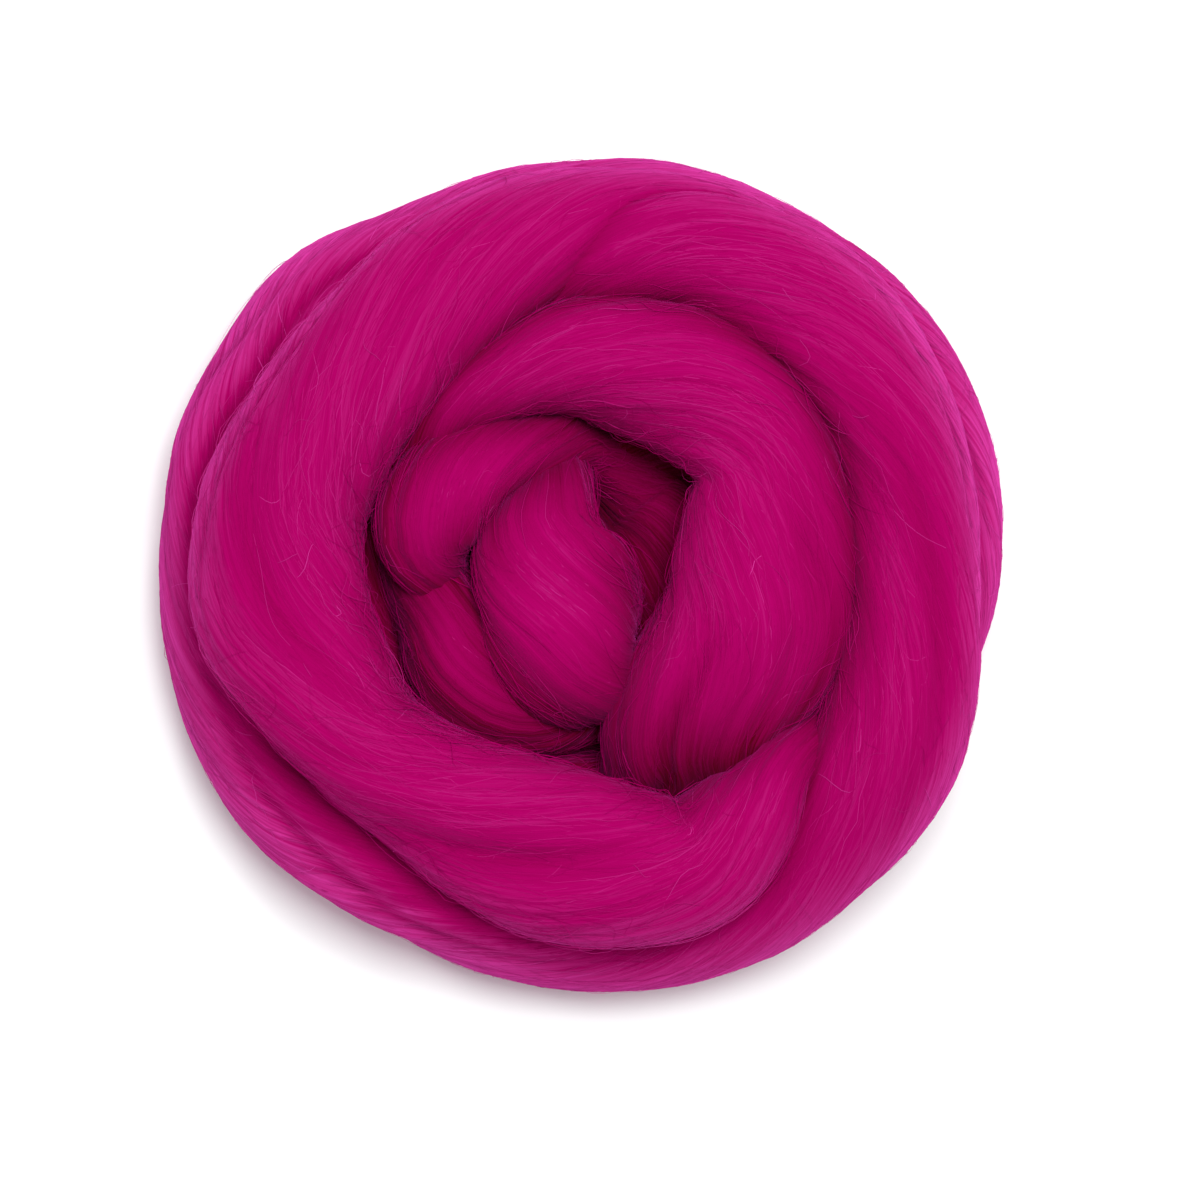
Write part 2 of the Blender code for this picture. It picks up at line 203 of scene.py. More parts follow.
def sidesAlong(ahead, carriedShare):
    side = np.cross((0, 0, 1), ahead[0])
    sides = []
    for direction in ahead:
        level = np.cross((0, 0, 1), direction)
        if level @ side < 0:  # the strand has bent over, and its side keeps facing the same way
            level = -level
        carried = side - (side @ direction) * direction
        side = unit(level + carriedShare * carried)
        sides.append(side)
    return np.array(sides)


def slowWaves(random, length, counts, reach, settings):
    # ripples round the strand whose share and phase drift slowly along it
    knots = np.arange(0, length + reach, reach)
    waves = []
    for count in range(counts[0], counts[1] + 1):
        drift = random.normal(0, settings["rippleDrift"], len(knots))
        phase = np.cumsum(drift) + random.uniform(0, math.tau)
        waves.append((count, phase, random.uniform(settings["rippleLeast"], 1, len(knots))))
    return knots, waves


def placeFurrows(turns, furrows, rowsAlong):
    # a furrow's rows, counted within its turn, become metres along the strand
    placed, first = [], {}
    for turn in turns:
        first[turn["name"]] = sum(len(other["rows"]) for other in turns[:turns.index(turn)])
    for furrow in furrows:
        rows = [first[furrow["turn"]] + row for row in furrow["rows"]]
        start, stop = np.interp(rows, range(len(rowsAlong)), rowsAlong)
        placed.append(dict(furrow, start=start, stop=stop))
    return placed


def windStrand(turns, settings):
    rows = sectionRows(turns)
    between = settings["stepsBetweenRows"]
    padded = np.vstack((2 * rows[0] - rows[1], rows, 2 * rows[-1] - rows[-2]))
    share = np.linspace(0, 1, between, endpoint=False)[:, None]
    path = [eased(*padded[i:i + 4], share) for i in range(len(rows) - 1)]
    path = np.vstack(path + [rows[-1:]])
    steps = np.linalg.norm(np.diff(path[:, :3], axis=0), axis=1)
    travelled = np.concatenate(((0,), np.cumsum(steps)))
    length = travelled[-1]
    along = np.linspace(0, length, int(length / settings["ringSpacing"]) + 1)
    path = np.stack([np.interp(along, travelled, column) for column in path.T], axis=1)
    ahead = unit(np.gradient(path[:, :3], axis=0))
    sides = sidesAlong(ahead, settings["sideCarried"])
    if sides[-1, :2] @ path[-1, :2] < 0:  # angle 0 is the outer side of the turns
        sides = -sides
    twist = path[:, 5]
    turned = np.concatenate(((0,), np.cumsum((twist[1:] + twist[:-1]) / 2 * np.diff(along))))
    random = np.random.default_rng(settings["seed"])
    return {
        "length": length, "along": along, "centres": path[:, :3], "ahead": ahead, "sides": sides,
        "ups": np.cross(ahead, sides), "halfWidth": path[:, 3], "halfThick": path[:, 4],
        "turned": math.tau * (turned - turned[-1]) + math.tau * nest["usualTwist"] * length,
        "settings": settings,
        "furrows": placeFurrows(turns, settings["furrows"], travelled[::between]),
        "ripples": [(slowWaves(random, length, counts, reach, settings), height)
                    for counts, reach, height in settings["ripples"]],
    }


def valueAlong(strand, name, along):
    values = strand[name]
    if values.ndim == 1:
        return np.interp(along, strand["along"], values)
    return np.stack([np.interp(along, strand["along"], column) for column in values.T], axis=-1)


def furrowsAt(strand, along, around):
    # for each furrow: how far it has opened there, and how many of its widths off its middle
    # the place lies
    angle = around - valueAlong(strand, "turned", along)
    for furrow in strand["furrows"]:
        share = np.clip((along - furrow["start"]) / (furrow["stop"] - furrow["start"]), 0, 1)
        middle = np.radians(np.interp(share, (0, 1), furrow["angles"]))
        apart = (angle - middle + math.pi) % math.tau - math.pi
        yield furrow, np.sin(share * math.pi), apart * nest["fibreLead"] / furrow["width"]


def reliefOf(strand, along, around):
    # height of the locks' furrows and of the fine bundles above the plain section, in metres
    relief = np.zeros(np.broadcast(along, around).shape)
    for (knots, waves), height in strand["ripples"]:
        total = 0
        for count, phase, share in waves:
            size = np.interp(along, knots, share)
            total = total + size * np.cos(count * around + np.interp(along, knots, phase))
        relief = relief + height / 1000 * total / math.sqrt(len(waves))
    for furrow, opened, across in furrowsAt(strand, along, around):
        relief = relief - furrow["depth"] / 1000 * opened * np.exp(-across ** 2)
    return relief


def strandPoints(strand, along, around, lift=0.0):
    # around is counted with the fibres, so a line of one value follows their twist
    settings = strand["settings"]
    angle = around - valueAlong(strand, "turned", along)
    swell = 1.0
    for count, depth, start in settings["locks"]:
        swell = swell + depth * np.cos(count * (around + math.radians(start)))
    ends = np.minimum(along, strand["length"] - along) / settings["endTaper"]
    taper = np.sqrt(np.clip(ends, 0, 1))
    extra = reliefOf(strand, along, around) + lift
    across = (valueAlong(strand, "halfWidth", along) * swell + extra) * np.cos(angle) * taper
    upward = (valueAlong(strand, "halfThick", along) * swell + extra) * np.sin(angle) * taper
    points = (valueAlong(strand, "centres", along)
              + across[..., None] * valueAlong(strand, "sides", along)
              + upward[..., None] * valueAlong(strand, "ups", along))
    points[..., 2] = np.maximum(points[..., 2], 0)  # pressed flat on the floor
    return points


def surfaceNormals(strand, along, around):
    angle = around - valueAlong(strand, "turned", along)
    wide = valueAlong(strand, "halfWidth", along)
    thick = valueAlong(strand, "halfThick", along)
    return unit((np.cos(angle) * thick)[..., None] * valueAlong(strand, "sides", along)
                + (np.sin(angle) * wide)[..., None] * valueAlong(strand, "ups", along))


# Rays tell how closed in the wool is, and from that come the painted shade in its creases and the
# painted sheen on its open flanks.
# Lift and reach are in metres.
shelter = {
    "seed": 5,
    "sides": 60,
    "everyRing": 2,
    "spokes": 56,
    "rays": 20,
    "scatter": 0.98,  # how far the rays lean away from the surface's own direction
    "lift": 0.0008,
    "reach": 0.028,
    "nearness": 0.5,  # power by which near wool counts more than far wool
    "smoothing": 2,
}
# Painted light on the wool's colour: painted shade where it is closed in and in the furrows'
# valleys, painted sheen on its open outer flanks.
wash = {
    "open": 0.05,  # wool that is less closed in than this gets no painted shade
    "closed": 0.80,  # and past this its painted shade is as deep as it gets
    # falloff shapes the painted shade and crease is its depth; flank is how much paler the painted
    # sheen makes the flanks
    "falloff": 0.95,
    "crease": 0.40,
    "flank": 0.42,
    "flankTop": 0.92,  # flanks are where the surface faces up less than this
    "frayed": 0.50,  # and where it is less closed in than this
    "outwardGain": 2,
    "rim": (0.052, 0.060),  # metres from the middle between which the painted sheen sets in
    "rimShares": (0.1, 1),
    "high": (0.022, 0.042),  # metres up between which it grows less
    "highShares": (1, 0.6),
    # furrow is the painted shade in a furrow's valley, and streak how unevenly streaks and fibres
    # take on the painted shade and sheen
    "furrow": 0.12,
    "streak": (0.4, 1.6),
}


def paintedShadeAndSheenAt(owner, along, around):
    # how much the painted sheen lightens and the painted shade deepens the body colour at a place
    grid = owner.get("wash", np.zeros((2, 2)))  # none until the shelter has been measured
    ring = np.clip(along / owner["length"], 0, 1) * (grid.shape[0] - 1)
    spoke = around % math.tau / math.tau * (grid.shape[1] - 1)
    ringBefore = np.minimum(ring.astype(int), grid.shape[0] - 2)
    spokeBefore = np.minimum(spoke.astype(int), grid.shape[1] - 2)
    pastRing, pastSpoke = ring - ringBefore, spoke - spokeBefore
    before = (grid[ringBefore, spokeBefore] * (1 - pastSpoke)
              + grid[ringBefore, spokeBefore + 1] * pastSpoke)
    after = (grid[ringBefore + 1, spokeBefore] * (1 - pastSpoke)
             + grid[ringBefore + 1, spokeBefore + 1] * pastSpoke)
    return before * (1 - pastRing) + after * pastRing


def strandShape(strand, sides):
    # a grid wrapped round the strand, its long edges along the fibres
    rings = len(strand["along"])
    around = np.linspace(0, math.tau, sides + 1)
    along = np.broadcast_to(strand["along"][:, None], (rings, sides + 1))
    points = strandPoints(strand, along, around[None, :])
    points[:, -1] = points[:, 0]
    # the painted shade and painted sheen, kept on each vertex
    paintedValues = paintedShadeAndSheenAt(strand, along, np.broadcast_to(around[None, :], along.shape))
    shape = bmesh.new()
    shape.loops.layers.uv.new("fibres")
    paintedShading = shape.verts.layers.float.new("wash")
    bmesh.ops.create_grid(shape, x_segments=rings - 1, y_segments=sides, size=1, calc_uvs=True)
    for i, vertex in enumerate(shape.verts):
        vertex.co = points[i % rings, i // rings]
        vertex[paintedShading] = paintedValues[i % rings, i // rings]
    bmesh.ops.remove_doubles(shape, verts=shape.verts, dist=strand["settings"]["weld"])
    bmesh.ops.recalc_face_normals(shape, faces=shape.faces)
    return shape


def treeOf(owners):
    # all the strands as one body that rays can hit
    everything = bmesh.new()
    for owner in owners:
        mesh = bpy.data.meshes.new("rays")
        wrapped = strandShape(owner, shelter["sides"])
        wrapped.to_mesh(mesh)
        wrapped.free()
        everything.from_mesh(mesh)
        bpy.data.meshes.remove(mesh)
    tree = BVHTree.FromBMesh(everything)
    everything.free()
    return tree


def smoothed(closed):
    # closed is by rings along the strand and spokes round it, and its last spoke is its first
    for _ in range(shelter["smoothing"]):
        closed[1:-1] = (closed[:-2] + 2 * closed[1:-1] + closed[2:]) / 4
        ring = closed[:, :-1]
        closed[:, :-1] = (np.roll(ring, 1, axis=1) + 2 * ring + np.roll(ring, -1, axis=1)) / 4
        closed[:, -1] = closed[:, 0]
    return closed


def paintedShadeAndSheenOf(owner, along, around, points, normals, closed):
    # painted shade deepens the wool in the creases and painted sheen makes it paler on the open
    # outer flanks
    sunk = np.clip((closed - wash["open"]) / (wash["closed"] - wash["open"]), 0, 1)
    steep = np.clip(1 - normals[..., 2] / wash["flankTop"], 0, 1)
    bare = np.clip(1 - closed / wash["frayed"], 0, 1)
    faced = (normals[..., :2] * unit(points[..., :2])).sum(-1)
    outward = np.clip(wash["outwardGain"] * faced, 0, 1)
    fromMiddle = np.hypot(points[..., 0], points[..., 1])
    outward *= np.interp(fromMiddle, wash["rim"], wash["rimShares"])
    outward *= np.interp(points[..., 2], wash["high"], wash["highShares"])
    paintedShading = wash["flank"] * steep * bare * outward - wash["crease"] * sunk ** wash["falloff"]
    for furrow, opened, across in furrowsAt(owner, along, around):
        # painted shade in each furrow's valley, and a painted highlight on the ridges beside it
        # (more painted shade where pale is below 0)
        valley, ridges = np.exp(-across ** 2), across ** 2 * np.exp(1 - across ** 2)
        paintedShading += opened * (furrow["pale"] * ridges - wash["furrow"] * valley)
    return paintedShading


def measureShelter(owners):
    # rays from all over the wool: 1 where it is closed in by other wool, 0 where it lies open
    tree = treeOf(owners)
    random = np.random.default_rng(shelter["seed"])
    for owner in owners:
        along = owner["along"][::shelter["everyRing"]][:, None]
        around = np.linspace(0, math.tau, shelter["spokes"] + 1)[None, :]
        points = strandPoints(owner, along, around, shelter["lift"])
        normals = np.broadcast_to(surfaceNormals(owner, along, around), points.shape)
        closed = np.zeros(points.shape[:2])
        places = zip(points.reshape(-1, 3), normals.reshape(-1, 3), np.ndindex(closed.shape))
        for start, normal, spot in places:
            scattered = unit(random.normal(0, 1, (shelter["rays"], 3)))
            for way in unit(normal + shelter["scatter"] * scattered):
                distance = tree.ray_cast(start, way, shelter["reach"])[3]
                if distance is not None:
                    closed[spot] += (1 - distance / shelter["reach"]) ** shelter["nearness"]
        closed[:, -1] = closed[:, 0]
        closed /= shelter["rays"]
        # the painted shade and painted sheen that the wool's colour takes from how closed in it is
        owner["wash"] = paintedShadeAndSheenOf(owner, along, around, points, normals, smoothed(closed))


# The body colour is the wool's dye; deep serves both darker fibres and the painted shade in
# creases, pale both paler fibres and the painted sheen on flanks.
dyeAndPaintedLight = {
    "deep": (0.112, 0.0000, 0.005, 1.0),
    "body": (0.350, 0.0001, 0.103, 1.0),
    "pale": (0.640, 0.0440, 0.330, 1.0),
}
wool = {
    "roughness": 0.9,
    "sheen": 0.26,
    "sheenRoughness": 0.40,
    "sheenTint": (1.0, 0.06, 0.56, 1.0),
    "specular": 0.02,
}
combing = {
    # the radius that the map is rolled up to, in streak widths, and streaks per metre of strand
    "fine": (70, 90),
    "middle": (22, 40),
    "broad": (5, 12),
    # what each adds to the shade, of which 0.5 is the body colour
    "fineShade": (-0.04, 0.04),
    "middleShade": (0.45, 0.55),
    "broadShade": (-0.05, 0.05),
    # and to the height of the bump, whose depth is in metres
    "fineHeight": (0, 0.35),
    "middleHeight": (0, 1.0),
    "bumpStrength": 0.45,
    "bumpDepth": 0.0003,
    "noiseRange": (0.3, 0.7),  # the part of the noise that is spread over those values
    "noiseDetail": 3.0,
    "noiseRoughness": 0.55,
}


def addNode(tree, kind, **inputs):
    node = tree.nodes.new(kind)
    for name, value in inputs.items():
        node.inputs[name.replace("_", " ")].default_value = value
    return node


def dyeAndPaintedLightGroup():
    # shade 0 is a deep fibre or the deepest painted shade, 0.5 the body colour and 1 a pale fibre
    # or the palest painted sheen
    group = bpy.data.node_groups.new("dyeAndPaintedLightRamp", "ShaderNodeTree")
    group.interface.new_socket("Shade", in_out="INPUT", socket_type="NodeSocketFloat")
    group.interface.new_socket("Colour", in_out="OUTPUT", socket_type="NodeSocketColor")
    entry, leave = group.nodes.new("NodeGroupInput"), group.nodes.new("NodeGroupOutput")
    ramp = group.nodes.new("ShaderNodeValToRGB")
    ramp.color_ramp.elements[0].color = dyeAndPaintedLight["deep"]
    ramp.color_ramp.elements[1].color = dyeAndPaintedLight["pale"]
    middle = ramp.color_ramp.elements.new(0.5)
    middle.color = dyeAndPaintedLight["body"]
    group.links.new(entry.outputs["Shade"], ramp.inputs["Fac"])
    group.links.new(ramp.outputs["Color"], leave.inputs["Colour"])
    return group


def streakGroup():
    # streaks that run along the fibres: the piece's UV map is rolled up, so they close round it
    group = bpy.data.node_groups.new("combedStreaks", "ShaderNodeTree")
    for name in ("Length", "Around", "Along"):
        group.interface.new_socket(name, in_out="INPUT", socket_type="NodeSocketFloat")
    group.interface.new_socket("Streak", in_out="OUTPUT", socket_type="NodeSocketFloat")
    entry, leave = group.nodes.new("NodeGroupInput"), group.nodes.new("NodeGroupOutput")
    unrolled = group.nodes.new("ShaderNodeUVMap")
    unrolled.uv_map = "fibres"
    parts = group.nodes.new("ShaderNodeSeparateXYZ")
    group.links.new(unrolled.outputs["UV"], parts.inputs["Vector"])

    def maths(operation, first, second=None):
        node = group.nodes.new("ShaderNodeMath")
        node.operation = operation
        for socket, value in zip(node.inputs, (first, second)):
            if isinstance(value, (int, float)):
                socket.default_value = value
            elif value is not None:
                group.links.new(value, socket)
        return node.outputs[0]

    turn = maths("MULTIPLY", parts.outputs["Y"], math.tau)
    rolled = group.nodes.new("ShaderNodeCombineXYZ")
    for operation, axis in (("COSINE", "X"), ("SINE", "Y")):
        reach = maths("MULTIPLY", maths(operation, turn), entry.outputs["Around"])
        group.links.new(reach, rolled.inputs[axis])
    travelled = maths("MULTIPLY", parts.outputs["X"], entry.outputs["Length"])
    travelled = maths("MULTIPLY", travelled, entry.outputs["Along"])
    group.links.new(travelled, rolled.inputs["Z"])
    noise = addNode(group, "ShaderNodeTexNoise", Scale=1.0, Detail=combing["noiseDetail"],
                    Roughness=combing["noiseRoughness"])
    group.links.new(rolled.outputs["Vector"], noise.inputs["Vector"])
    group.links.new(noise.outputs["Fac"], leave.inputs["Streak"])
    return group


def woolShader(tree):
    shader = tree.nodes["Principled BSDF"]
    shader.inputs["Roughness"].default_value = wool["roughness"]
    shader.inputs["Specular IOR Level"].default_value = wool["specular"]
    shader.inputs["Sheen Weight"].default_value = wool["sheen"]
    shader.inputs["Sheen Roughness"].default_value = wool["sheenRoughness"]
    shader.inputs["Sheen Tint"].default_value = wool["sheenTint"]
    return shader


def combedMaterial(name, length):
    material = bpy.data.materials.new(name)
    material.use_nodes = True
    tree = material.node_tree
    shader = woolShader(tree)

    def streaks(around, along):
        node = tree.nodes.new("ShaderNodeGroup")
        node.node_tree = streakNodes
        node.inputs["Length"].default_value = length
        node.inputs["Around"].default_value = around
        node.inputs["Along"].default_value = along
        return node.outputs["Streak"]

    def spread(value, low, high):
        least, most = combing["noiseRange"]
        node = addNode(tree, "ShaderNodeMapRange",
                       From_Min=least, From_Max=most, To_Min=low, To_Max=high)
        tree.links.new(value, node.inputs["Value"])
        return node.outputs["Result"]

    def joined(operation, first, second):
        node = tree.nodes.new("ShaderNodeMath")
        node.operation = operation
        tree.links.new(first, node.inputs[0])
        tree.links.new(second, node.inputs[1])
        return node.outputs[0]

    fine, middle = streaks(*combing["fine"]), streaks(*combing["middle"])
    broad = streaks(*combing["broad"])
    shade = joined("ADD", spread(fine, *combing["fineShade"]),
                   spread(middle, *combing["middleShade"]))
    shade = joined("ADD", shade, spread(broad, *combing["broadShade"]))
    # the painted shade and painted sheen, broken up by the middle streaks
    paintedShading = tree.nodes.new("ShaderNodeAttribute")
    paintedShading.attribute_name = "wash"
    streaked = joined("MULTIPLY", paintedShading.outputs["Fac"], spread(middle, *wash["streak"]))
    shade = joined("ADD", shade, streaked)
    colour = tree.nodes.new("ShaderNodeGroup")
    colour.node_tree = dyeAndPaintedLightNodes
    tree.links.new(shade, colour.inputs["Shade"])
    tree.links.new(colour.outputs["Colour"], shader.inputs["Base Color"])
    bump = addNode(tree, "ShaderNodeBump",
                   Strength=combing["bumpStrength"], Distance=combing["bumpDepth"])
    height = joined("ADD", spread(fine, *combing["fineHeight"]),
                    spread(middle, *combing["middleHeight"]))
    tree.links.new(height, bump.inputs["Height"])
    tree.links.new(bump.outputs["Normal"], shader.inputs["Normal"])
    return material


def fibreMaterial(name):
    material = bpy.data.materials.new(name)
    material.use_nodes = True
    tree = material.node_tree
    shader = woolShader(tree)
    shade = tree.nodes.new("ShaderNodeAttribute")
    shade.attribute_name = "fibreShade"
    colour = tree.nodes.new("ShaderNodeGroup")
    colour.node_tree = dyeAndPaintedLightNodes
    tree.links.new(shade.outputs["Fac"], colour.inputs["Shade"])
    tree.links.new(colour.outputs["Colour"], shader.inputs["Base Color"])
    return material


def finishPiece(name, shape, material, body="root"):
    mesh = bpy.data.meshes.new(name)
    shape.to_mesh(mesh)
    shape.free()
    mesh.shade_smooth()
    if "facing" in mesh.attributes:  # a fibre is shaded as the wool that it lies on
        leans = np.zeros(3 * len(mesh.vertices))
        mesh.attributes["facing"].data.foreach_get("vector", leans)
        mesh.normals_split_custom_set_from_vertices(leans.reshape(-1, 3).tolist())
    mesh.materials.append(material)
    piece = bpy.data.objects.new(name, mesh)
    bpy.context.scene.collection.objects.link(piece)
    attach(piece, body)
    print("made", name, "with", len(mesh.polygons), "faces")
    return piece


dyeAndPaintedLightNodes = dyeAndPaintedLightGroup()
streakNodes = streakGroup()

strand = windStrand(strandTurns, strandLook)
lowWool = windStrand(lowTurns, packedLook)
pressedWool = windStrand(pressedTurns, packedLook)
print("strand length", round(strand["length"], 4), "m")
measureShelter((strand, lowWool, pressedWool))
print("found where the wool is closed in")

windingPiece = finishPiece("windingStrand", strandShape(strand, strandLook["sides"]),
                           combedMaterial("combedWool", strand["length"]))
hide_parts("wound_roving")
for name, packed in (("lowWool", lowWool), ("pressedWool", pressedWool)):
    packedShape = strandShape(packed, packedLook["sides"])
    finishPiece(name, packedShape, combedMaterial(name, packed["length"]))

# What all fibres share. End margin, floor gap and weld are in metres.
fibreLook = {
    "sides": 3,
    "flatness": 0.5,  # a fibre's height over its width
    "roundness": 0.35,  # how much of its own roundness shows in its shading
    "bluntness": 0.4,  # the lower, the more suddenly its ends come to a point
    "endMargin": 0.001,
    "floorGap": 0.0001,
    "weld": 1e-8,
}

# Where fibres may start, in metres. They are drawn all over the strand, and kept where it is
# open: not inside another turn, nor where another stretch of the strand lies over it.
picking = {
    "endMargin": 0.004,
    "triesPerFibre": 12,
    "facings": (-0.9, -0.2, 0.35, 0.75),  # how far up the underside, sides and top face
    "deepest": -0.0003,
    "farthest": 0.05,
    "everyRing": 2,
    "besideRing": 0.0035,
    "ownStretch": 0.035,
}


def fibreShape(paths, widths, shades, normals):
    # paths: fibres by points by three; each fibre is a thin flat three-sided tube, pointed at its
    # ends, and is shaded mostly as the wool that it lies on
    count, steps = paths.shape[:2]
    sides, columns = fibreLook["sides"], fibreLook["sides"] + 1
    ahead = unit(np.gradient(paths, axis=1))
    outward = unit(normals - (normals * ahead).sum(-1, keepdims=True) * ahead)
    across = np.cross(ahead, outward)
    thin = np.sin(np.linspace(0, math.pi, steps)) ** fibreLook["bluntness"]
    radius = widths[:, None] / 2 * thin[None, :]
    radius[:, (0, -1)] = 0
    shape = bmesh.new()
    shade = shape.verts.layers.float.new("fibreShade")
    facing = shape.verts.layers.float_vector.new("facing")
    bmesh.ops.create_grid(shape, x_segments=steps - 1, y_segments=columns * count - 1, size=1)
    turns = [math.tau * (corner % sides) / sides for corner in range(columns)]
    spokes = [math.cos(turn) * fibreLook["flatness"] * outward + math.sin(turn) * across
              for turn in turns]
    points = [paths + radius[..., None] * spoke for spoke in spokes]
    points = np.stack(points, axis=1).reshape(-1, 3)
    leans = [unit(outward + fibreLook["roundness"] * spoke) for spoke in spokes]
    leans = np.stack(leans, axis=1).reshape(-1, 3)
    tints = np.repeat(shades[:, None, :], columns, axis=1).ravel()
    for vertex, point, lean, tint in zip(shape.verts, points, leans, tints):
        vertex.co = point
        vertex[facing] = lean
        vertex[shade] = tint
    shape.verts.index_update()
    # the strips of the grid that join one fibre to the next
    between = [face for face in shape.faces
               if min(v.index for v in face.verts) // steps % columns == sides]
    bmesh.ops.delete(shape, geom=between, context="FACES")
    bmesh.ops.remove_doubles(shape, verts=shape.verts, dist=fibreLook["weld"])
    bmesh.ops.recalc_face_normals(shape, faces=shape.faces)
    return shape


def gapToOtherTurns(points, along):
    # metres to the nearest other stretch of the strand, and negative inside it
    gap = np.full(points.shape[:-1], picking["farthest"])
    for i in range(0, len(strand["along"]), picking["everyRing"]):
        away = points - strand["centres"][i]
        across = away @ strand["sides"][i] / strand["halfWidth"][i]
        upward = away @ strand["ups"][i] / strand["halfThick"][i]
        size = math.sqrt(strand["halfWidth"][i] * strand["halfThick"][i])
        here = (np.sqrt(across ** 2 + upward ** 2) - 1) * size
        far = np.abs(away @ strand["ahead"][i]) > picking["besideRing"]
        far |= np.abs(along - strand["along"][i]) < picking["ownStretch"]
        gap = np.minimum(gap, np.where(far, picking["farthest"], here))
    return gap


def pickExposed(random, settings):
    # places on the strand's open surface, as many on its top, sides and underside as asked
    top, side, under = settings["where"]
    margin, tries = picking["endMargin"], settings["fibres"] * picking["triesPerFibre"]
    along = random.uniform(margin, strand["length"] - margin, tries)
    around = random.uniform(0, math.tau, tries)
    facing = surfaceNormals(strand, along, around)[:, 2]
    wanted = np.interp(facing, picking["facings"], (under, side, side, top))
    points = strandPoints(strand, along, around)
    keep = random.uniform(0, 1, len(along)) < wanted
    keep &= np.hypot(points[:, 0], points[:, 1]) < settings["within"]
    along, around, points = along[keep], around[keep], points[keep]
    keep = gapToOtherTurns(points, along) > picking["deepest"]
    return along[keep][:settings["fibres"]], around[keep][:settings["fibres"]]


def tintAlong(random, run, turn, settings):
    # one tint for each fibre, to which the painted shade and painted sheen of the wool that it
    # crosses are added
    middle, spread, lowest = settings["shade"]
    tint = np.maximum(random.normal(middle, spread, (len(run), 1)), lowest)
    follow = random.uniform(*wash["streak"], (len(run), 1))
    crossed = paintedShadeAndSheenAt(strand, run, turn)
    paintedShading = np.where(crossed < 0, crossed * settings["sink"], crossed * follow)
    return np.clip(tint + paintedShading, 0, 1)


def layFibres(run, turn, lift):
    paths = strandPoints(strand, run, turn, lift)
    paths[..., 2] = np.maximum(paths[..., 2], fibreLook["floorGap"])
    return paths


def keptOnStrand(run):
    return np.clip(run, fibreLook["endMargin"], strand["length"] - fibreLook["endMargin"])


# The combed fibres that lie along the strand. Length, width and lift are in metres, stray, bend
# and crimp in radians, and shade is its middle, its spread and its lowest. Where gives the shares
# kept on the strand's top, sides and underside, and within how far out they may start in metres.
lying = {
    "seed": 31,
    "pieces": 2,
    "fibres": 4300,
    "steps": 9,
    "length": (0.016, 0.040),
    "width": (0.00010, 0.00018),
    "lift": (-0.00006, 0.00006),
    "arched": 0.6,  # least rise of a fibre's middle, as a share of how deep its ends lie
    "stray": 0.24,
    "strayLength": 0.03,  # metres of fibre that stray that far at each end
    "bend": 0.10,
    "crimp": 0.020,
    "shade": (0.53, 0.05, 0.46),
    "sink": 1.0,  # share of the creases' painted shade that the fibres take on
    "where": (1.0, 0.5, 0.25),
    "within": 1.0,
}


def lyingFibres(name, seed):
    random = np.random.default_rng(seed)
    along, around = pickExposed(random, lying)
    count = len(along)
    share = np.linspace(-0.5, 0.5, lying["steps"])[None, :]
    lengths = random.uniform(*lying["length"], count)[:, None]
    stray = random.normal(0, lying["stray"], count)[:, None]
    bend = random.normal(0, lying["bend"], count)[:, None]
    run = keptOnStrand(along[:, None] + lengths * share)
    turn = (around[:, None] + stray * share * lengths / lying["strayLength"] * 2
            + bend * (share * 2) ** 2)
    turn = turn + random.normal(0, lying["crimp"], run.shape)
    low, high = lying["lift"]
    arch = 1 - (share * 2) ** 2
    rise = random.uniform(0, 1, count)[:, None] * (high - low) - low * lying["arched"]
    paths = layFibres(run, turn, low + rise * arch)
    widths = random.uniform(*lying["width"], count)
    tints = tintAlong(random, run, turn, lying)
    shape = fibreShape(paths, widths, tints, surfaceNormals(strand, run, turn))
    finishPiece(name, shape, lyingMaterial)


lyingMaterial = fibreMaterial("lyingFibre")
for number in range(lying["pieces"]):
    lyingFibres(f"lyingFibres{number + 1}", lying["seed"] + number)

# Single fibres that have come loose, and the short fuzz that stands on the strand's flanks.
# Length, width, height and curl are in metres, and slant in radians from the strand's run.
# Skyward is how far a fibre that stands clear of the wool takes the light from above.
loose = {
    "seed": 71,
    "fibres": 600,
    "steps": 12,
    "length": (0.008, 0.022),
    "width": (0.00007, 0.00010),
    "height": 0.00025,
    "slant": 0.40,
    "curl": 0.0010,
    "shade": (0.62, 0.08, 0.52),
    "sink": 0.6,
    "skyward": 0.0,
    "where": (0.5, 1.0, 0.3),
    "within": 1.0,
}
fuzz = {
    "seed": 81,
    "fibres": 5600,
    "steps": 7,
    "length": (0.003, 0.010),
    "width": (0.00010, 0.00016),
    "height": 0.00018,
    "slant": 0.8,
    "curl": 0.0007,
    "shade": (0.60, 0.12, 0.46),
    "sink": 0.8,
    "skyward": 0.0,
    "where": (0.15, 1.0, 0.3),
    "within": 1.0,
}
edgeFuzz = {  # the soft edges of the upper turns, which reach out over the creases
    "seed": 91,
    "pieces": 2,
    "fibres": 3100,
    "steps": 8,
    "length": (0.005, 0.015),
    "width": (0.00009, 0.00014),
    "height": 0.0005,
    "slant": 0.4,
    "curl": 0.0010,
    "shade": (0.50, 0.06, 0.43),
    "sink": 0.15,
    "skyward": 1.2,
    "where": (0.0, 1.0, 0.0),
    "within": 0.0590,
}
strayLook = {
    "waves": (0.4, 0.7, 1.0),  # how many waves each of a fibre's curls makes along it
    "rootDepth": 0.00015,  # metres that its ends lie below the surface
    "arch": 0.5,  # the lower, the more steeply it leaves the surface
}


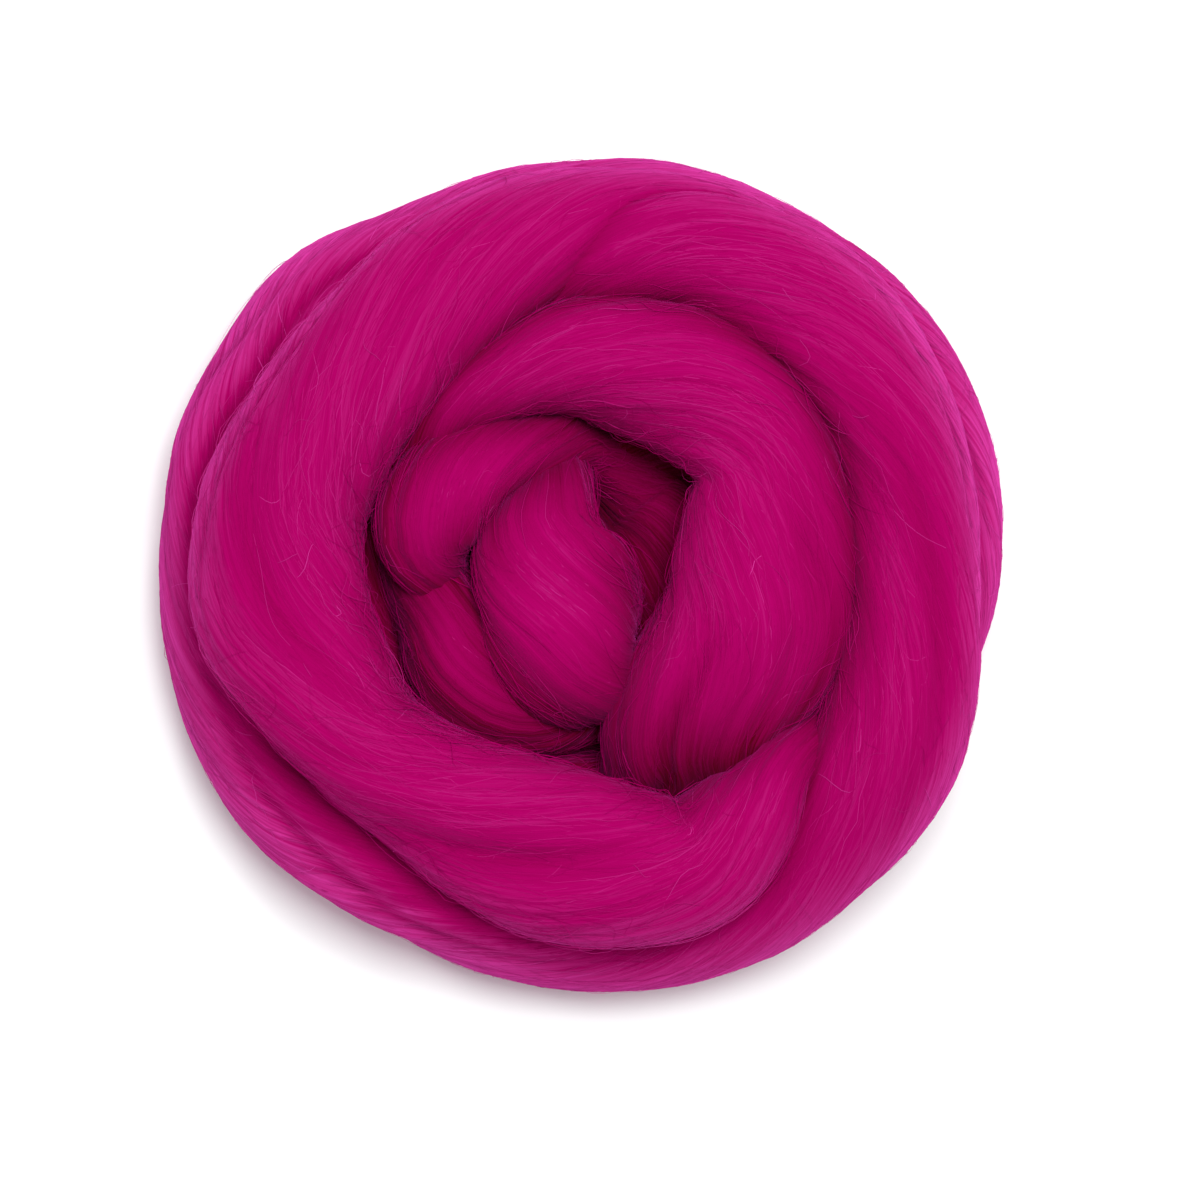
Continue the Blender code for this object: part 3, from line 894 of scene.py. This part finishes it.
def strayFibres(name, settings, seed):
    random = np.random.default_rng(seed)
    along, around = pickExposed(random, settings)
    count = len(along)
    share = np.linspace(-0.5, 0.5, settings["steps"])[None, :]
    lengths = random.uniform(*settings["length"], (count, 1))
    slant = random.normal(0, settings["slant"], (count, 1))
    ahead, aside = lengths * share, np.zeros((count, settings["steps"]))
    for waves in strayLook["waves"]:
        phase = random.uniform(0, math.tau, (count, 1))
        size = random.normal(0, settings["curl"], (count, 1))
        size = size / waves * lengths / settings["length"][1]
        aside = aside + size * np.sin(waves * math.tau * share + phase)
    run = keptOnStrand(along[:, None] + ahead * np.cos(slant) - aside * np.sin(slant))
    sideways = ahead * np.sin(slant) + aside * np.cos(slant)
    turn = around[:, None] + sideways / (nest["fibreLead"] / 1000)
    arch = (1 - (share * 2) ** 2) ** strayLook["arch"]
    heights = np.abs(random.normal(0, settings["height"], (count, 1)))
    paths = layFibres(run, turn, -strayLook["rootDepth"] + heights * arch)
    widths = random.uniform(*settings["width"], count)
    tints = tintAlong(random, run, turn, settings)
    normals = unit(surfaceNormals(strand, run, turn) + np.array((0, 0, settings["skyward"])))
    finishPiece(name, fibreShape(paths, widths, tints, normals), strayMaterial)


strayMaterial = fibreMaterial("strayFibre")
strayFibres("looseFibres", loose, loose["seed"])
strayFibres("fuzz", fuzz, fuzz["seed"])
for number in range(1, edgeFuzz["pieces"] + 1):
    strayFibres(f"edgeFuzz{number}", edgeFuzz, edgeFuzz["seed"] + number)

# Places and sizes are in metres, the lens and sensor in mm and the key light in watts.
studio = {
    "floorColour": (0.91, 0.96, 0.945, 1.0),
    "floorSize": 3,
    "floorRoughness": 0.95,
    "zenith": 0.36,
    "horizon": 0.78,
    "keyPlace": (0.145, 0.245, 1.16),
    "keySize": 0.42,
    "keyPower": 12.6,
    "cameraPlace": (0.00392, -0.00418, 0.7314),
    "lens": 135.0,
    "sensor": 36,
}


def makeFloor():
    shape = bmesh.new()
    bmesh.ops.create_grid(shape, x_segments=1, y_segments=1, size=studio["floorSize"])
    mesh = bpy.data.meshes.new("floor")
    shape.to_mesh(mesh)
    shape.free()
    material = bpy.data.materials.new("paleFloor")
    material.use_nodes = True
    shader = material.node_tree.nodes["Principled BSDF"]
    shader.inputs["Base Color"].default_value = studio["floorColour"]
    shader.inputs["Roughness"].default_value = studio["floorRoughness"]
    mesh.materials.append(material)
    floor = bpy.data.objects.new("floor", mesh)
    bpy.context.scene.collection.objects.link(floor)


def makeLights():
    # white light from all sides, stronger low down than overhead, as from a ring of soft boxes
    world = bpy.data.worlds.new("studio")
    world.use_nodes = True
    tree = world.node_tree
    background = tree.nodes["Background"]
    background.inputs["Color"].default_value = (1, 1, 1, 1)
    direction = tree.nodes.new("ShaderNodeTexCoord")
    height = tree.nodes.new("ShaderNodeSeparateXYZ")
    strength = addNode(tree, "ShaderNodeMapRange",
                       To_Min=studio["horizon"], To_Max=studio["zenith"])
    tree.links.new(direction.outputs["Generated"], height.inputs["Vector"])
    tree.links.new(height.outputs["Z"], strength.inputs["Value"])
    tree.links.new(strength.outputs["Result"], background.inputs["Strength"])
    bpy.context.scene.world = world
    key = bpy.data.objects.new("key", bpy.data.lights.new("key", "AREA"))
    key.data.size = studio["keySize"]
    key.data.energy = studio["keyPower"]
    key.location = studio["keyPlace"]
    key.rotation_euler = key.location.to_track_quat("Z", "Y").to_euler()
    bpy.context.scene.collection.objects.link(key)


def makeCamera():
    camera = bpy.data.objects.new("camera", bpy.data.cameras.new("camera"))
    camera.data.lens = studio["lens"]
    camera.data.sensor_width = studio["sensor"]
    camera.location = studio["cameraPlace"]
    bpy.context.scene.collection.objects.link(camera)
    bpy.context.scene.camera = camera


makeFloor()
makeLights()
makeCamera()
bpy.context.scene.view_settings.view_transform = "Standard"
print("floor, light and camera are set")
